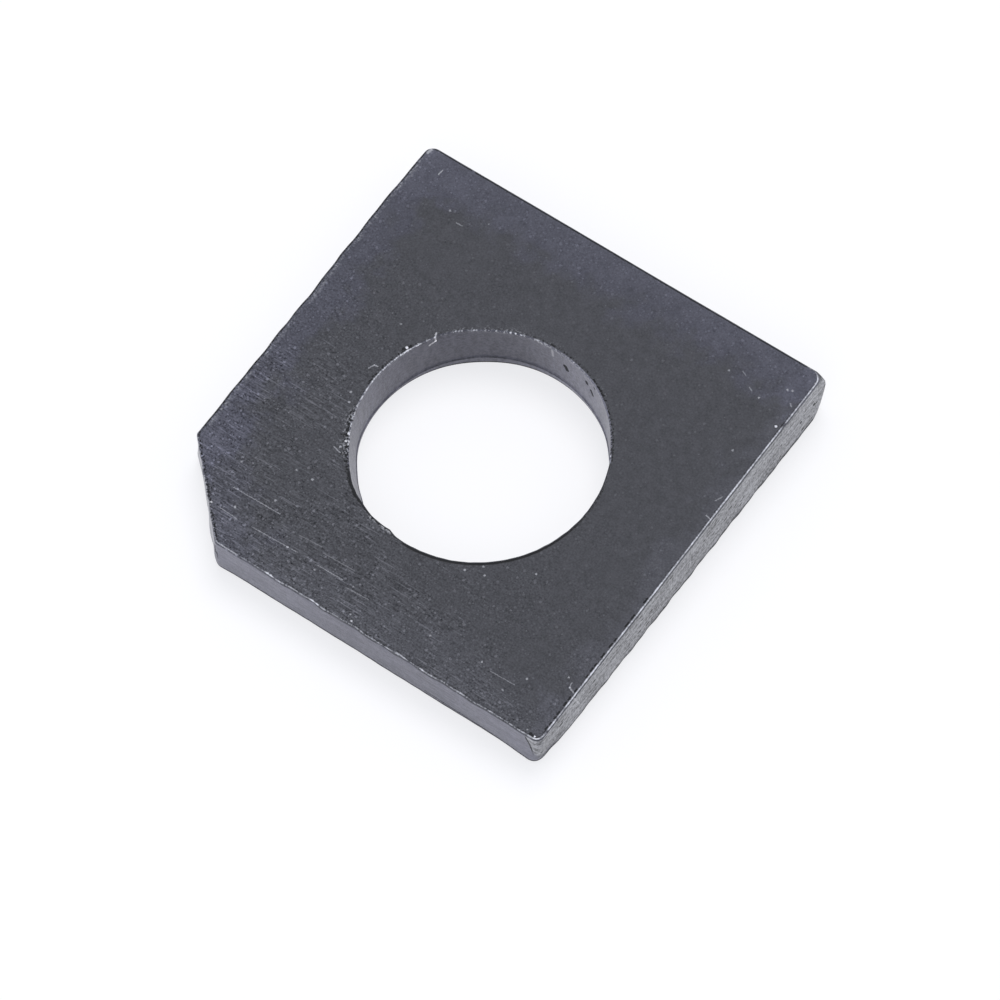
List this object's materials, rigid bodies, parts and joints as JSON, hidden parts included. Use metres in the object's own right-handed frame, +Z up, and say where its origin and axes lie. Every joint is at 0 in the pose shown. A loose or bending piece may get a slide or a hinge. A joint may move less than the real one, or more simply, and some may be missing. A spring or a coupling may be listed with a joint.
{
  "type": "square taper washer",
  "caption": "Square steel taper washer with a clipped corner and a round bolt hole, thicker along one edge, that levels a bolt head or nut on a sloping flange.",
  "frame": {"origin": "middle of the plate on its flat underside", "axes": "+Z up through the bolt hole, +Y towards the thick edge, +X along the thin edge away from the clipped corner"},
  "size_m": [0.041, 0.0421, 0.0056],
  "materials": {
    "blackened_steel": "black oxide on hot rolled steel, satin, with pale specks, faint rolling lines and rubbed edges"
  },
  "bodies": {
    "root": {"taper_washer": "blackened_steel"}
  },
  "joints": []
}
